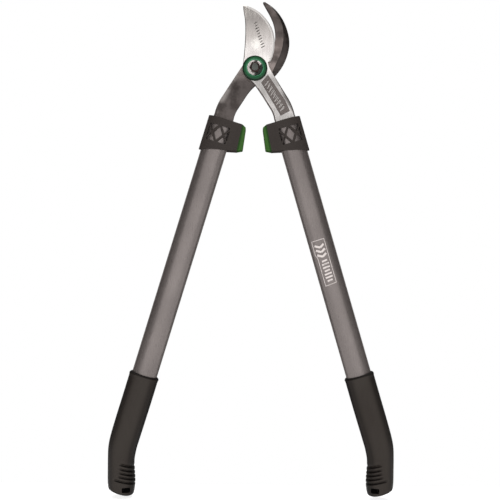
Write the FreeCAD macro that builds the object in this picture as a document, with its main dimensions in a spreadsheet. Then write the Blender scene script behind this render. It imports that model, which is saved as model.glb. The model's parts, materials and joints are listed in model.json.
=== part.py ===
import FreeCAD, Part
import math
import os
import Sketcher

# Bypass loppers, in millimetres.
#
# The pivot's axis is the Y axis and the origin is its centre, on the shear plane between the
# two levers. Z is up, towards the jaws, and the handles hang down to the left and the right.
# The front is towards -Y: there lie the blade lever, the trim ring and the nut. The hook
# lever and the bolt's head lie behind. The blade lever crosses to the right handle and the
# hook lever to the left one.
#
# "out" is a distance outwards from a handle's axis and "up" is a distance along it, measured
# from the level of the pivot, so it is negative all the way down the handle.

vector = FreeCAD.Vector

DIMENSIONS = {
    # levers
    "lever_gap": 0.3,             # between the two levers' shear faces
    "blade_thickness": 5.0,
    "hook_thickness": 6.5,
    "boss_radius": 17.0,
    "bevel_drop": 1.1,            # shallow bevel along the cutting edge
    "edge_grind_drop": 3.2,       # steep ground strip outside it, down to the edge
    "hook_back_drop": 3.6,        # sloping back of the hook
    "panel_depth": 1.0,           # sunk panel in the blade lever's shank
    "rib_height": 0.7,
    "rib_count": 9,
    "rib_run": 38.0,
    "shank_half_width": 14.6,
    "tang_half_width": 9.5,
    "shoulder_up": -77.5,         # where the shank narrows to the tang
    "tang_end_up": -132.0,
    # pivot
    "bolt_radius": 5.0,
    "bush_radius": 7.0,
    "seat_gap": 0.02,             # between pieces that are clamped together
    "running_gap": 0.05,          # between pieces that turn on each other
    "friction_washer_radius": 13.0,
    "friction_washer_thickness": 1.4,
    "friction_seat_depth": 1.2,
    "ring_radius": 17.2,
    "ring_height": 4.0,
    "ring_bore_radius": 10.7,
    "ring_lip": 1.0,
    "dish_radius": 10.4,
    "dish_thickness": 1.2,
    "dish_rise": 1.6,
    "nut_across_flats": 13.0,
    "nut_height": 6.0,
    "bolt_overhang": 1.2,
    "head_across_flats": 17.0,
    "head_height": 5.0,
    "back_washer_radius": 13.0,
    "back_washer_thickness": 1.6,
    # handles
    "handle_lean": 16.6,          # degrees from the vertical
    "handle_offset": 22.1,        # of a handle's axis from the pivot, at the pivot's level
    "tube_width": 34.8,
    "tube_depth": 21.6,
    "tube_wall": 1.5,
    "tube_top_up": -78.0,
    "tube_end_up": -535.0,
    "insert_end_up": -136.0,
    "pin_up": -112.5,
    "pin_out": 4.5,               # the two pins of a tang lie side by side
    "pin_radius": 2.5,
    "pin_length": 19.2,           # ends just under the tube's surface
    "plug_length": 14.0,
    # collars and bumpers
    "collar_width": 40.8,
    "collar_depth": 27.0,
    "collar_top_up": -73.0,
    "collar_bottom_up": -122.6,   # of its outer corner
    "collar_roof": 4.0,
    "arm_root_depth": 26.8,       # of the collar's arm, on the handle's axis
    "arm_depth": 22.0,            # at the bumper
    "stem_radius": 4.0,
    "stem_up": -91.0,
    "stem_tip_out": -20.5,
    "arm_clear_out": -40.0,       # beyond the bumper's face
    "bumper_face_angle": 8.0,     # of each bumper's face from the vertical, seen from the pivot
    # grips
    "grip_top_up": -440.0,
    "grip_width": 40.4,
    "grip_depth": 28.0,
    "grip_bend_up": -547.0,       # corner of the grip's centre line
    "grip_bend_radius": 60.0,
    "grip_end_level": -600.0,
    "hang_slot_width": 12.0,
    "hang_slot_height": 7.4,
}

doc = FreeCAD.newDocument("bypass_loppers")
sheet = doc.addObject("Spreadsheet::Sheet", "Size")
for row, (alias, number) in enumerate(DIMENSIONS.items(), start=1):
    sheet.set(f"A{row}", alias)
    sheet.set(f"B{row}", str(number))
    sheet.setAlias(f"B{row}", alias)
doc.recompute()


def size(alias):
    return float(sheet.get(alias))


# ---------------------------------------------------------------- drawing

def on_handle(out, up):
    """Front-view point of the right side, from its place on the right handle."""
    lean = math.radians(size("handle_lean"))
    return (size("handle_offset") + out * math.cos(lean) - up * math.sin(lean),
            out * math.sin(lean) + up * math.cos(lean))


def from_pivot(x, z):
    """Place on the right handle (out, up) of a front-view point of the right side."""
    lean = math.radians(size("handle_lean"))
    across = x - size("handle_offset")
    return (across * math.cos(lean) + z * math.sin(lean),
            z * math.cos(lean) - across * math.sin(lean))


def mirrored(points):
    return [(-x, z) for x, z in points]


def flat(point):
    return vector(point[0], point[1], 0)


def lines(*points):
    return [Part.LineSegment(flat(a), flat(b)) for a, b in zip(points, points[1:])]


def arc(start, middle, end):
    return [Part.Arc(flat(start), flat(middle), flat(end))]


def curve(*points):
    spline = Part.BSplineCurve()
    spline.interpolate([flat(point) for point in points])
    return [spline]


def polygon(*points):
    return lines(*points, points[0])


# ---------------------------------------------------------------- bodies and features

def new_body(label):
    body = doc.addObject("PartDesign::Body", label)
    body.Label = label
    return body


def put_on_handle(body, side):
    """Lean a piece that is drawn along its own Z axis into line with a handle (side 1 or -1)."""
    body.Placement = FreeCAD.Placement(vector(0, 0, 0), FreeCAD.Rotation(vector(0, -side, 0), 1))
    body.setExpression("Placement.Base.x", f"{side} * Size.handle_offset")
    body.setExpression("Placement.Rotation.Angle", "Size.handle_lean * 1 deg")


def sketch_on(body, name, role, lift=None):
    """Sketch on one of the body's origin planes, lifted along the plane's normal."""
    sketch = body.newObject("Sketcher::SketchObject", name)
    plane = next(f for f in body.Origin.OriginFeatures if f.Role == role)
    sketch.AttachmentSupport = [(plane, "")]
    sketch.MapMode = "FlatFace"
    if lift is not None:
        sketch.setExpression("AttachmentOffset.Base.z", lift)
    return sketch


def front_sketch(body, name, geometry, lift=None):
    """Sketch seen from the front: its axes are X and Z, and its normal is -Y."""
    sketch = sketch_on(body, name, "XZ_Plane", lift)
    sketch.addGeometry(geometry, False)
    return sketch


def pad(body, name, sketch, length, both_ways=False, backwards=False):
    feature = body.newObject("PartDesign::Pad", name)
    feature.Profile = sketch
    feature.setExpression("Length", length)
    feature.Midplane = both_ways
    feature.Reversed = backwards
    doc.recompute()
    return feature


def pocket(body, name, sketch, length, both_ways=False, backwards=False):
    """Cut a sketch into the body, and make sure that something was cut."""
    before = body.Shape.Volume
    feature = body.newObject("PartDesign::Pocket", name)
    feature.Profile = sketch
    feature.setExpression("Length", length)
    feature.Midplane = both_ways
    feature.Reversed = backwards
    doc.recompute()
    if body.Shape.Volume > before - 0.1:
        raise RuntimeError(f"{body.Label}: {name} cuts nothing")
    return feature


def drill(body, name, radius, at=(0, 0)):
    """Round hole right through the body, along the pivot's direction."""
    sketch = sketch_on(body, name + "_circle", "XZ_Plane")
    add_circle(sketch, radius, at)
    return pocket(body, name, sketch, "4 * Size.collar_depth", both_ways=True)


def add_circle(sketch, radius, at=(0, 0)):
    """Circle whose radius follows an expression."""
    number = float(sketch.evalExpression(radius))
    index = sketch.addGeometry(Part.Circle(flat(at), vector(0, 0, 1), number), False)
    bound(sketch, "Radius", f"radius_{index}", radius, index)


def bound(sketch, kind, name, expression, *references):
    number = float(sketch.evalExpression(expression))
    constraint = sketch.addConstraint(Sketcher.Constraint(kind, *references, number))
    sketch.renameConstraint(constraint, name)
    sketch.setExpression(f"Constraints.{name}", expression)


def add_bound_polygon(sketch, corners):
    """Closed outline whose corners are pairs of expressions."""
    places = [(float(sketch.evalExpression(x)), float(sketch.evalExpression(y))) for x, y in corners]
    sketch.addGeometry(polygon(*places), False)
    for index, (x, y) in enumerate(corners):
        following = (index + 1) % len(corners)
        sketch.addConstraint(Sketcher.Constraint("Coincident", index, 2, following, 1))
        bound(sketch, "DistanceX", f"x_{index}", x, -1, 1, index, 1)
        bound(sketch, "DistanceY", f"y_{index}", y, -1, 1, index, 1)


def add_oval(sketch, width, depth):
    """Ellipse about the sketch's origin, both its sizes given as expressions."""
    half_width, half_depth = [float(sketch.evalExpression(f"({full}) / 2")) for full in (width, depth)]
    index = sketch.addGeometry(Part.Ellipse(vector(0, 0, 0), half_width, half_depth), False)
    sketch.exposeInternalGeometry(index)
    long_axis, short_axis = index + 1, index + 2
    sketch.addConstraint(Sketcher.Constraint("Coincident", index, 3, -1, 1))
    sketch.addConstraint(Sketcher.Constraint("Horizontal", long_axis))
    bound(sketch, "Distance", f"width_{index}", width, long_axis)
    bound(sketch, "Distance", f"depth_{index}", depth, short_axis)


def add_rectangle(sketch, low_x, low_y, high_x, high_y):
    add_bound_polygon(sketch, [(low_x, low_y), (high_x, low_y), (high_x, high_y), (low_x, high_y)])


def dress(body, kind, name, base, wanted, **lengths):
    """Fillet or chamfer the edges of the last feature that the function wanted picks."""
    edges = [f"Edge{i}" for i, edge in enumerate(base.Shape.Edges, start=1) if wanted(edge)]
    if not edges:
        raise RuntimeError(f"{body.Label}: {name} finds no edge")
    feature = body.newObject(kind, name)
    feature.Base = (base, edges)
    for key, expression in lengths.items():
        feature.setExpression(key, expression)
    doc.recompute()
    return feature


def is_circle(edge, radius, level):
    """Whether an edge is a circle about the pivot's axis, of this radius and at this Y."""
    if not isinstance(edge.Curve, Part.Circle):
        return False
    return abs(edge.Curve.Radius - radius) < 0.01 and abs(edge.Curve.Center.y - level) < 0.01


def turned(label, corners):
    """Body turned about the Y axis, from corners given as expressions (radius, y)."""
    body = new_body(label)
    sketch = sketch_on(body, label + "_half_section", "XY_Plane")
    add_bound_polygon(sketch, corners)
    feature = body.newObject("PartDesign::Revolution", label + "_turned")
    feature.Profile = sketch
    feature.ReferenceAxis = (sketch, ["V_Axis"])
    feature.Angle = 360
    doc.recompute()
    return body, feature


def hexagon(body, name, across_flats, lift):
    """Regular hexagon about the pivot's axis, on a plane lifted towards the front."""
    sketch = sketch_on(body, name, "XZ_Plane", lift)
    corner = float(sketch.evalExpression(across_flats)) / math.sqrt(3)
    angles = [math.radians(60 * step) for step in range(6)]
    corners = [(corner * math.cos(a), corner * math.sin(a)) for a in angles]
    sketch.addGeometry(polygon(*corners), False)
    return sketch


# ---------------------------------------------------------------- levels along the pivot

BLADE_FRONT = "(Size.lever_gap / 2 + Size.blade_thickness)"
HOOK_BACK = "(Size.lever_gap / 2 + Size.hook_thickness)"
RING_BACK = f"({BLADE_FRONT} + Size.lever_gap)"
RING_LIP_FRONT = f"({RING_BACK} + Size.ring_lip)"
RING_FRONT = f"({RING_BACK} + Size.ring_height)"
DISH_FRONT = f"({RING_LIP_FRONT} + Size.dish_thickness)"
NUT_FRONT = f"({DISH_FRONT} + Size.nut_height)"
BOLT_FRONT = f"({NUT_FRONT} + Size.bolt_overhang)"
SEAT_FLOOR = "(Size.lever_gap / 2 + Size.friction_seat_depth)"
HEAD_FRONT = f"({HOOK_BACK} + Size.back_washer_thickness)"


# ---------------------------------------------------------------- levers

PINS = {"inner_pin": -1, "outer_pin": 1}    # each handle's cross pins, and their side of its axis

# Outlines of the right shank, drawn down from the pivot. The left one mirrors them, but is
# narrower on its inner side.
SHANK_OUTER_BEND = [(46.6, -40.7), (51.9, -51.5), (55.1, -61.6)]
SHANK_INNER_ROOT = [(-7.5, -15.25), (-3.0, -19.0), (3.2, -26.5), (10.3, -36.7)]
SHANK_INNER_BEND = [(20.7, -53.1), (24.8, -60.5), (27.3, -69.3)]

BLADE_TIP = (-16.9, 88.0)
CUTTING_EDGE = [BLADE_TIP, (-5.0, 84.6), (7.4, 76.7), (17.6, 65.2), (24.3, 52.6), (27.0, 37.0),
                (25.6, 22.5), (21.3, 10.5)]
BEVEL_LINE = [(-16.6, 84.4), (-7.0, 81.3), (4.7, 74.0), (14.4, 63.1), (20.8, 51.2), (23.4, 36.8),
              (22.2, 23.4), (18.2, 9.0)]
EDGE_GRIND_SHARE = 0.3            # of the whole bevel's width
SPINE = [(-16.7, 3.2), (-15.1, 20.0), (-13.8, 40.0), (-13.7, 57.0), (-15.1, 73.0), (-16.5, 80.5)]
HEEL_NOTCH = [(17.4, 8.6), (19.1, 2.2)]

HOOK_TIP = (10.4, 92.6)
HOOK_BACK_EDGE = [(14.8, 92.9), (27.2, 84.0), (37.1, 71.4), (44.5, 54.6), (47.4, 38.1), (44.9, 21.5),
                  (37.8, 4.9), (28.3, -7.6)]
SLOPE_LINE = [(13.2, 92.8), (24.7, 82.9), (33.6, 70.0), (38.4, 54.4), (38.6, 39.6), (36.0, 25.0),
              (29.6, 9.5), (23.2, -6.5)]
HOOK_BOTTOM = [(17.0, -14.6), (5.5, -18.8), (-4.0, -26.5), (-11.8, -36.7)]
HOOK_SHANK_INNER_BEND = [(-22.3, -53.1), (-26.4, -60.5), (-28.9, -69.3)]
HOOK_INNER_EDGE = [(14.0, 9.64), (20.5, 16.0), (25.5, 29.0), (27.7, 46.1), (24.2, 66.5), (15.6, 83.5),
                   HOOK_TIP]
HOOK_SHOULDER = [(-21.5, -1.6), (-18.6, 2.6), (-15.5, 7.0)]

PANEL = [(18.0, -8.6), (41.8, -43.6), (48.4, -57.6), (36.1, -64.4), (8.9, -19.2)]
PANEL_FIRST_RIB = (40.1, -54.8)
SHANK_LEAN = 32.0                 # degrees, of the sloping part of a shank


def between(first, second, share):
    """Line of points that lie this share of the way from the first line to the second."""
    return [(a[0] + (b[0] - a[0]) * share, a[1] + (b[1] - a[1]) * share) for a, b in zip(first, second)]


def tang():
    """Corners of the right tang, from the shank's outer shoulder round to its inner one."""
    wide, narrow = size("shank_half_width"), size("tang_half_width")
    top, end = size("shoulder_up"), size("tang_end_up")
    return [on_handle(wide, top), on_handle(narrow, top), on_handle(narrow, end),
            on_handle(-narrow, end), on_handle(-narrow, top), on_handle(-wide, top)]


def blade_outline(edge):
    """Outline of the blade lever, with this line for the cutting edge."""
    return (curve(*edge) + lines(edge[-1], *HEEL_NOTCH, SHANK_OUTER_BEND[0]) + arc(*SHANK_OUTER_BEND)
            + lines(SHANK_OUTER_BEND[-1], *tang(), SHANK_INNER_BEND[-1])
            + arc(*SHANK_INNER_BEND) + lines(SHANK_INNER_BEND[0], SHANK_INNER_ROOT[-1])
            + curve(*SHANK_INNER_ROOT) + arc(SHANK_INNER_ROOT[0], (-16.66, -3.4), SPINE[0])
            + curve(*SPINE, edge[0]))


def hook_outline(edge):
    """Outline of the hook lever, with this line for the hook's back."""
    inner_bend = HOOK_SHANK_INNER_BEND
    outer_bend = mirrored(reversed(SHANK_OUTER_BEND))
    return (lines(HOOK_TIP, edge[0]) + curve(*edge) + curve(edge[-1], *HOOK_BOTTOM)
            + lines(HOOK_BOTTOM[-1], inner_bend[0]) + arc(*inner_bend)
            + lines(inner_bend[-1], *mirrored(reversed(tang())), outer_bend[0])
            + arc(*outer_bend) + lines(outer_bend[-1], HOOK_SHOULDER[0]) + arc(*HOOK_SHOULDER)
            + arc(HOOK_SHOULDER[-1], (0, size("boss_radius")), HOOK_INNER_EDGE[0])
            + curve(*HOOK_INNER_EDGE))


def sloped_layer(body, name, low_outline, high_outline, low_lift, high_lift):
    """Layer of a lever between two outlines, so that one edge slopes from one to the other."""
    loft = body.newObject("PartDesign::AdditiveLoft", name)
    loft.Profile = front_sketch(body, name + "_low_outline", low_outline, low_lift)
    loft.Sections = [front_sketch(body, name + "_high_outline", high_outline, high_lift)]
    loft.Ruled = True
    doc.recompute()
    if not loft.isValid():
        raise RuntimeError(f"{name} can't be lofted")


def rib_outline():
    """One raised rib of the panel, a slanted bar about the sketch's origin."""
    length, width, slant = 5.4, 1.5, 1.4
    return polygon((-length / 2, -slant), (length / 2, slant),
                   (length / 2, slant + width), (-length / 2, width - slant))


def make_blade_lever():
    body = new_body("blade_lever")
    edge = front_sketch(body, "edge_outline", blade_outline(CUTTING_EDGE), "Size.lever_gap / 2")
    pad(body, "edge_layer", edge, "Size.blade_thickness - Size.bevel_drop - Size.edge_grind_drop")
    grind_line = between(CUTTING_EDGE, BEVEL_LINE, EDGE_GRIND_SHARE)
    bevel_level = f"({BLADE_FRONT} - Size.bevel_drop)"
    sloped_layer(body, "ground_layer", blade_outline(CUTTING_EDGE), blade_outline(grind_line),
                 f"{bevel_level} - Size.edge_grind_drop", bevel_level)
    sloped_layer(body, "bevelled_layer", blade_outline(grind_line), blade_outline(BEVEL_LINE),
                 bevel_level, BLADE_FRONT)
    panel = front_sketch(body, "panel_outline", polygon(*PANEL), BLADE_FRONT)
    pocket(body, "panel", panel, "Size.panel_depth")
    ribs = front_sketch(body, "rib_outline", rib_outline())
    ribs.AttachmentOffset = FreeCAD.Placement(flat(PANEL_FIRST_RIB),
                                              FreeCAD.Rotation(vector(0, 0, 1), SHANK_LEAN))
    ribs.setExpression("AttachmentOffset.Base.z", f"{BLADE_FRONT} - Size.panel_depth")
    rib = pad(body, "rib", ribs, "Size.rib_height")
    row = body.newObject("PartDesign::LinearPattern", "rib_row")
    row.Originals = [rib]
    row.Direction = (ribs, ["V_Axis"])
    row.setExpression("Length", "Size.rib_run")
    row.setExpression("Occurrences", "Size.rib_count")
    body.Tip = row
    doc.recompute()
    drill(body, "pivot_bore", "Size.bush_radius + Size.running_gap")
    drill_pin_holes(body, 1)


def make_hook_lever():
    body = new_body("hook_lever")
    slope_level = "-(Size.lever_gap / 2 + Size.hook_back_drop)"
    pad(body, "rear_layer", front_sketch(body, "rear_outline", hook_outline(HOOK_BACK_EDGE), slope_level),
        "Size.hook_thickness - Size.hook_back_drop", backwards=True)
    sloped_layer(body, "sloping_back_layer", hook_outline(HOOK_BACK_EDGE), hook_outline(SLOPE_LINE),
                 slope_level, "-Size.lever_gap / 2")
    seat = sketch_on(body, "washer_seat_circle", "XZ_Plane", "-Size.lever_gap / 2")
    add_circle(seat, "Size.friction_washer_radius + Size.seat_gap")
    pocket(body, "washer_seat", seat, "Size.friction_seat_depth")
    drill(body, "pivot_bore", "Size.bolt_radius + Size.seat_gap")
    drill_pin_holes(body, -1)


def drill_pin_holes(lever, side):
    for name, sign in PINS.items():
        x, z = on_handle(sign * size("pin_out"), size("pin_up"))
        drill(lever, name + "_hole", "Size.pin_radius + Size.seat_gap", (side * x, z))


# ---------------------------------------------------------------- pivot

def make_pivot():
    bush_bore = "Size.bolt_radius + Size.seat_gap"
    outside_bush = "Size.bush_radius + Size.seat_gap"
    turned("pivot_bush", [(bush_bore, SEAT_FLOOR), ("Size.bush_radius", SEAT_FLOOR),
                          ("Size.bush_radius", f"-{RING_LIP_FRONT}"), (bush_bore, f"-{RING_LIP_FRONT}")])
    washer_front = f"{SEAT_FLOOR} - Size.friction_washer_thickness"
    turned("friction_washer", [(outside_bush, SEAT_FLOOR), ("Size.friction_washer_radius", SEAT_FLOOR),
                               ("Size.friction_washer_radius", washer_front), (outside_bush, washer_front)])
    turned("back_washer", [(bush_bore, HOOK_BACK), ("Size.back_washer_radius", HOOK_BACK),
                           ("Size.back_washer_radius", HEAD_FRONT), (bush_bore, HEAD_FRONT)])
    make_trim_ring(outside_bush)
    flat_radius = "Size.nut_across_flats / sqrt(3) + 0.2"
    turned("dished_washer", [
        (bush_bore, f"-{RING_LIP_FRONT}"), (flat_radius, f"-{RING_LIP_FRONT}"),
        ("Size.dish_radius", f"-{RING_LIP_FRONT} - Size.dish_rise"),
        ("Size.dish_radius", f"-{DISH_FRONT} - Size.dish_rise"),
        (flat_radius, f"-{DISH_FRONT}"), (bush_bore, f"-{DISH_FRONT}")])
    make_nut()
    make_bolt()


def make_trim_ring(lip_bore):
    body, blank = turned("trim_ring", [
        (lip_bore, f"-{RING_BACK}"), ("Size.ring_radius", f"-{RING_BACK}"),
        ("Size.ring_radius", f"-{RING_FRONT}"), ("Size.ring_bore_radius", f"-{RING_FRONT}"),
        ("Size.ring_bore_radius", f"-{RING_LIP_FRONT}"), (lip_bore, f"-{RING_LIP_FRONT}")])
    front = -(size("lever_gap") * 1.5 + size("blade_thickness") + size("ring_height"))
    dome = dress(body, "PartDesign::Fillet", "ring_dome", blank,
                 lambda edge: is_circle(edge, size("ring_radius"), front), Radius="Size.ring_height * 0.8")
    dress(body, "PartDesign::Fillet", "ring_inner_round", dome,
          lambda edge: is_circle(edge, size("ring_bore_radius"), front), Radius="Size.ring_height * 0.4")


def make_nut():
    body = new_body("pivot_nut")
    outline = hexagon(body, "nut_outline", "Size.nut_across_flats", DISH_FRONT)
    pad(body, "nut_hexagon", outline, "Size.nut_height")
    round_hexagon(body, "Size.nut_across_flats", NUT_FRONT, 1)
    drill(body, "thread_bore", "Size.bolt_radius + Size.seat_gap")


def make_bolt():
    body = new_body("pivot_bolt")
    pad(body, "head", hexagon(body, "head_outline", "Size.head_across_flats", f"-{HEAD_FRONT}"),
        "Size.head_height", backwards=True)
    round_hexagon(body, "Size.head_across_flats", f"({HEAD_FRONT} + Size.head_height)", -1)
    shaft = sketch_on(body, "shaft_circle", "XZ_Plane", f"-{HEAD_FRONT}")
    add_circle(shaft, "Size.bolt_radius")
    shank = pad(body, "shaft", shaft, f"{HEAD_FRONT} + {BOLT_FRONT}")
    front = -float(shaft.evalExpression(BOLT_FRONT))
    dress(body, "PartDesign::Chamfer", "thread_start", shank,
          lambda edge: is_circle(edge, size("bolt_radius"), front), Size="0.8 mm")


def round_hexagon(body, across_flats, level, facing):
    """Turn the corners of a hexagon's outer face down, as on any bolt head (facing 1 is the front)."""
    sketch = sketch_on(body, body.Label + "_corner_cut", "XY_Plane")
    inner, outer = f"{across_flats} * 0.47", f"{across_flats} * 0.62"
    high, low = f"{-facing} * {level}", f"{-facing} * ({level} - ({outer} - {inner}) * 0.58)"
    add_bound_polygon(sketch, [(inner, high), (outer, high), (outer, low)])
    groove = body.newObject("PartDesign::Groove", body.Label + "_corners")
    groove.Profile = sketch
    groove.ReferenceAxis = (sketch, ["V_Axis"])
    groove.Angle = 360
    doc.recompute()


# ---------------------------------------------------------------- handles

def make_tube(name, side):
    body = new_body(name + "_handle_tube")
    section = sketch_on(body, name + "_tube_section", "XY_Plane", "Size.tube_end_up")
    add_oval(section, "Size.tube_width", "Size.tube_depth")
    add_oval(section, "Size.tube_width - 2 * Size.tube_wall", "Size.tube_depth - 2 * Size.tube_wall")
    pad(body, name + "_tube_wall", section, "Size.tube_top_up - Size.tube_end_up")
    drill_handle_pins(body, side)
    put_on_handle(body, side)


def drill_handle_pins(body, side):
    """Pin holes of a piece that is drawn along the handle's axis."""
    for name, sign in PINS.items():
        drill(body, f"{body.Label}_{name}_hole", "Size.pin_radius + Size.seat_gap",
              (side * sign * size("pin_out"), size("pin_up")))


def make_insert(name, side, tang_back, tang_front):
    """Shim that fills the tube round the tang, whose faces are at these levels towards the front."""
    body = new_body(name + "_tang_insert")
    section = sketch_on(body, name + "_insert_section", "XY_Plane", "Size.insert_end_up")
    room = "2 * (Size.tube_wall + Size.running_gap)"
    add_oval(section, f"Size.tube_width - {room}", f"Size.tube_depth - {room}")
    pad(body, name + "_insert_block", section, "Size.tube_top_up - Size.insert_end_up")
    slot = sketch_on(body, name + "_tang_slot_section", "XY_Plane", "Size.tube_top_up")
    half = "(Size.tang_half_width + Size.running_gap)"
    add_rectangle(slot, f"-{half}", f"-({tang_front}) - Size.running_gap",
                  half, f"-({tang_back}) + Size.running_gap")
    pocket(body, name + "_tang_slot", slot, "Size.tube_top_up - Size.tang_end_up + Size.running_gap")
    drill_handle_pins(body, side)
    put_on_handle(body, side)


def make_pins(name, side):
    """Both cross pins of one handle, right through the tube and the tang."""
    pins = []
    for sign in PINS.values():
        x, z = on_handle(sign * size("pin_out"), size("pin_up"))
        start = vector(side * x, -size("pin_length") / 2, z)
        pins.append(Part.makeCylinder(size("pin_radius"), size("pin_length"), start, vector(0, 1, 0)))
    group = doc.addObject("Part::Feature", name + "_tang_pins")
    group.Shape = Part.makeCompound(pins)
    group.Label = name + "_tang_pins"
    group.Placement = FreeCAD.Placement()


def make_end_plug(name, side):
    body = new_body(name + "_tube_end_plug")
    section = sketch_on(body, name + "_plug_section", "XY_Plane", "Size.tube_end_up")
    room = "2 * (Size.tube_wall + Size.running_gap)"
    add_oval(section, f"Size.tube_width - {room}", f"Size.tube_depth - {room}")
    pad(body, name + "_plug_block", section, "Size.plug_length")
    put_on_handle(body, side)


# ---------------------------------------------------------------- collars and bumpers

ARM_END_TOP = (-27.8, -73.0)      # the bumper sits against the face from here
ARM_END_BOTTOM = (-30.8, -109.6)  # to here
BEYOND_FACE = [(-27.8, -70.0), (-33.0, -70.0), (-33.0, -109.6)]
SLEEVE_FOOT = (25.0, -122.6)      # the collar's lower edge runs from here to the arm's end
BELOW_ARM, BELOW_SLEEVE = (-30.8, -140.0), (25.0, -140.0)
WINDOW_CENTRE = (0.3, -94.6)
LATTICE_PITCH = (8.6, 12.4)       # half a diamond, across and along the handle
LATTICE_OUTER = 15.2              # half the width of the lattice
WINDOW_SHRINK = 0.77              # leaves the bars between the windows


def sided(points, side):
    return [(side * out, up) for out, up in points]


def lattice_windows():
    """Corners of the windows, about the lattice's centre: a diamond and its six neighbours."""
    across, along = LATTICE_PITCH
    fall = (LATTICE_OUTER - across) * along / across
    windows = [[(0, along), (across, 0), (0, -along), (-across, 0)]]
    for corner, edge in ((across, LATTICE_OUTER), (-across, -LATTICE_OUTER)):
        windows.append([(corner, 0), (edge, fall), (edge, -fall)])
        for sign in (1, -1):
            windows.append([(corner, 0), (0, sign * along), (edge, sign * along), (edge, sign * fall)])
    return windows


def shrunk(corners):
    middle_x = sum(x for x, z in corners) / len(corners)
    middle_z = sum(z for x, z in corners) / len(corners)
    return [(middle_x + (x - middle_x) * WINDOW_SHRINK, middle_z + (z - middle_z) * WINDOW_SHRINK)
            for x, z in corners]


def cut_flat(body, name, corners, side):
    """Cut an outline, seen from the front, right through a piece of a handle."""
    sketch = front_sketch(body, name + "_outline", polygon(*sided(corners, side)))
    pocket(body, name, sketch, "2 * Size.collar_depth", both_ways=True)


def arm_section(body, name, side, out, depth):
    sketch = sketch_on(body, name, "YZ_Plane", f"{side * out}")
    add_rectangle(sketch, f"-{depth} / 2", "Size.collar_bottom_up", f"{depth} / 2", "Size.collar_top_up")
    return sketch


def add_arm(body, name, side):
    """Arm for the bumper, which tapers from the handle's axis to the bumper."""
    arm = body.newObject("PartDesign::AdditiveLoft", name + "_arm")
    arm.Profile = arm_section(body, name + "_arm_root", side, 0, "Size.arm_root_depth")
    arm.Sections = [arm_section(body, name + "_arm_end", side, ARM_END_BOTTOM[0], "Size.arm_depth")]
    arm.Ruled = True
    doc.recompute()


def make_collar(name, side, lever_back, lever_front):
    """Socket round the top of a tube, with an arm for the bumper."""
    body = new_body(name + "_collar")
    section = sketch_on(body, name + "_sleeve_section", "XY_Plane", "Size.collar_bottom_up")
    add_oval(section, "Size.collar_width", "Size.collar_depth")
    pad(body, name + "_sleeve", section, "Size.collar_top_up - Size.collar_bottom_up")
    add_arm(body, name, side)
    cut_flat(body, name + "_slanted_foot", [SLEEVE_FOOT, ARM_END_BOTTOM, BELOW_ARM, BELOW_SLEEVE], side)
    cut_flat(body, name + "_slanted_face", [ARM_END_TOP, *BEYOND_FACE, ARM_END_BOTTOM], side)
    for index, window in enumerate(lattice_windows()):
        corners = [(x + WINDOW_CENTRE[0], z + WINDOW_CENTRE[1]) for x, z in shrunk(window)]
        cut_flat(body, f"{name}_window_{index}", corners, side)
    bore = sketch_on(body, name + "_tube_bore_section", "XY_Plane", "Size.collar_top_up - Size.collar_roof")
    add_oval(bore, "Size.tube_width + 2 * Size.running_gap", "Size.tube_depth + 2 * Size.running_gap")
    pocket(body, name + "_tube_bore", bore, "Size.collar_top_up - Size.collar_bottom_up")
    slot = sketch_on(body, name + "_shank_slot_section", "XY_Plane", "Size.collar_top_up")
    room = "(Size.shank_half_width + 3 * Size.running_gap)"
    add_rectangle(slot, f"-{room}", f"-({lever_front}) - 2 * Size.running_gap",
                  room, f"-({lever_back}) + 2 * Size.running_gap")
    pocket(body, name + "_shank_slot", slot, "2 * Size.collar_roof")
    socket = stem_sketch(body, name + "_stem_socket_circle", side, "Size.stem_radius + Size.running_gap")
    socket_length = "Size.stem_tip_out - Size.arm_clear_out + 0.2"
    pocket(body, name + "_stem_socket", socket, socket_length, backwards=side > 0)
    put_on_handle(body, side)


def stem_sketch(body, name, side, radius):
    """Circle of the bumper's stem, on a plane beyond the bumper's face."""
    sketch = sketch_on(body, name, "YZ_Plane", f"{side} * Size.arm_clear_out")
    add_circle(sketch, radius, (0, size("stem_up")))
    return sketch


def make_bumper(name, side):
    """Rubber stop on the collar's arm, whose face lies on a line through the pivot."""
    body = new_body(name + "_bumper")
    face = math.radians(size("bumper_face_angle"))
    top, bottom = [from_pivot(reach * math.sin(face), -reach * math.cos(face)) for reach in (83.0, 113.5)]
    outline = [ARM_END_TOP, top, bottom, ARM_END_BOTTOM]
    block = pad(body, name + "_bumper_block",
                front_sketch(body, name + "_bumper_outline", polygon(*sided(outline, side))),
                "Size.arm_depth", both_ways=True)
    face_out = max(top[0], bottom[0]) + 0.1
    dress(body, "PartDesign::Fillet", name + "_bumper_rounding", block,
          lambda edge: -side * edge.CenterOfMass.x > -face_out, Radius="1.6 mm")
    stem = sketch_on(body, name + "_stem_circle", "YZ_Plane", f"{side} * Size.stem_tip_out")
    add_circle(stem, "Size.stem_radius", (0, size("stem_up")))
    pad(body, name + "_stem", stem, "10 mm", backwards=side > 0)
    put_on_handle(body, side)


# ---------------------------------------------------------------- grips

GRIP_END_CUT = [(215.0, -574.0), (199.0, -574.0), (183.5, -586.4), (164.0, -589.6), (140.0, -589.6),
                (140.0, -640.0), (215.0, -640.0)]
HANG_SLOT_CENTRE = (169.3, -577.8)


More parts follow.
